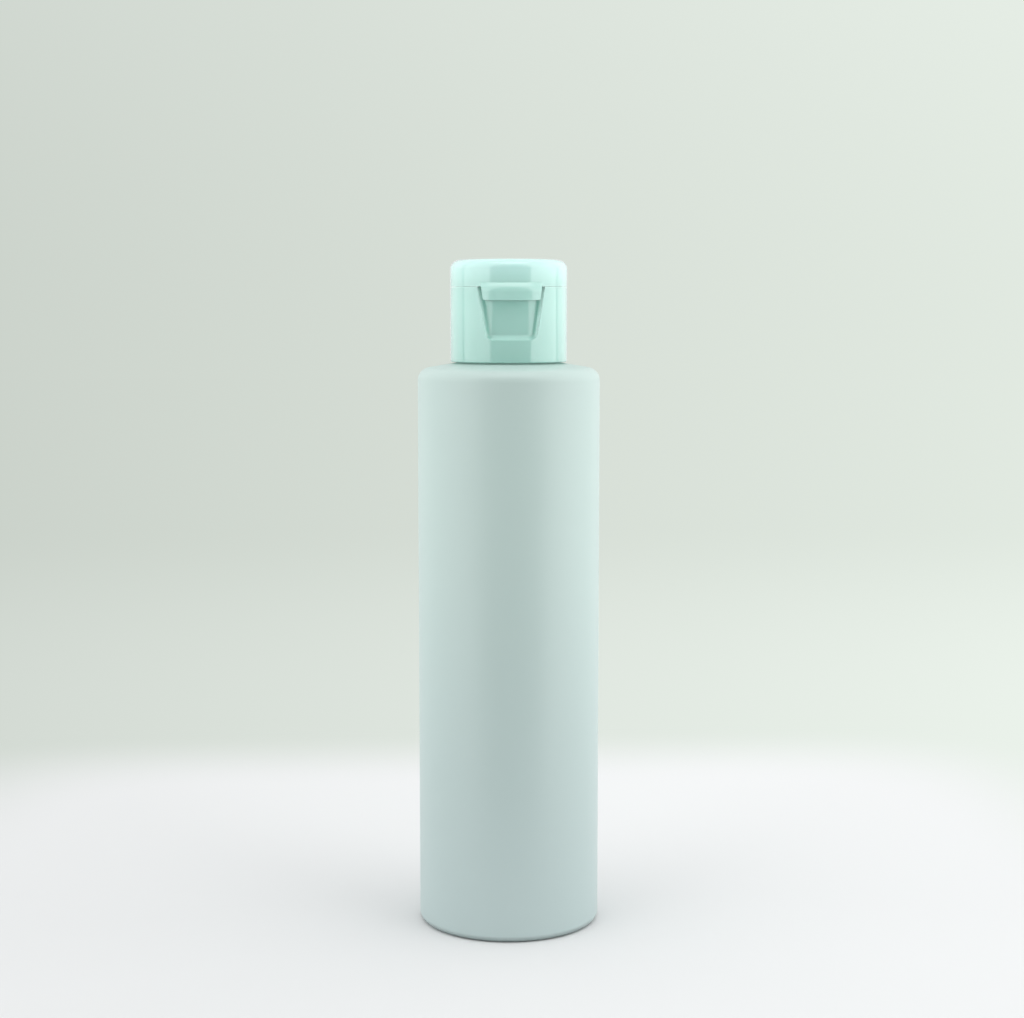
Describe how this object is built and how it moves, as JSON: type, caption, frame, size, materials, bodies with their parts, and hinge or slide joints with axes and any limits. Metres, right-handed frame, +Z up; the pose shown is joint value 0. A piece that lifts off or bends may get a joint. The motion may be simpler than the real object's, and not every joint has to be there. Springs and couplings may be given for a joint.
{
  "type": "cosmetic bottle",
  "caption": "Slim cylindrical matte plastic bottle with a glossy flip-top screw closure, thumb tab, nozzle and sealing washer.",
  "frame": {"origin": "centre of the base, on the plane that the bottle stands on", "axes": "+Z up along the bottle's axis, the closure's thumb tab towards -Y, +X to the right seen from the front"},
  "size_m": [0.046, 0.046, 0.1691],
  "materials": {
    "bottle_plastic": "fine matte, soft touch",
    "closure_plastic": "polished, slightly milky",
    "washer_foam": "soft foam"
  },
  "bodies": {
    "bottle_body": {"bottle": "bottle_plastic"},
    "washer_body": {"seal_washer": "washer_foam"},
    "closure_body": {"closure_base": "closure_plastic", "hinge_strap": "closure_plastic"},
    "lid_body": {"flip_lid": "closure_plastic"}
  },
  "joints": [
    {"name": "closure_lift", "type": "slide", "parent": "bottle_body", "child": "washer_body", "axis": [0, 0, 1], "range_m": [0, 0.00476]},
    {"name": "closure_turn", "type": "hinge", "parent": "washer_body", "child": "closure_body", "pos_m": [0, 0, 0.1612], "axis": [0, 0, 1], "range_deg": [0, 540]},
    {"name": "lid_hinge", "type": "hinge", "parent": "closure_body", "child": "lid_body", "pos_m": [0, 0.01355, 0.1623], "axis": [-1, 0, 0], "range_deg": [0, 135], "deforming": ["hinge_strap"]}
  ],
  "couplings": [
    {"joint": "closure_lift", "follows": "closure_turn", "m_per_rad": 0.00050532}
  ]
}
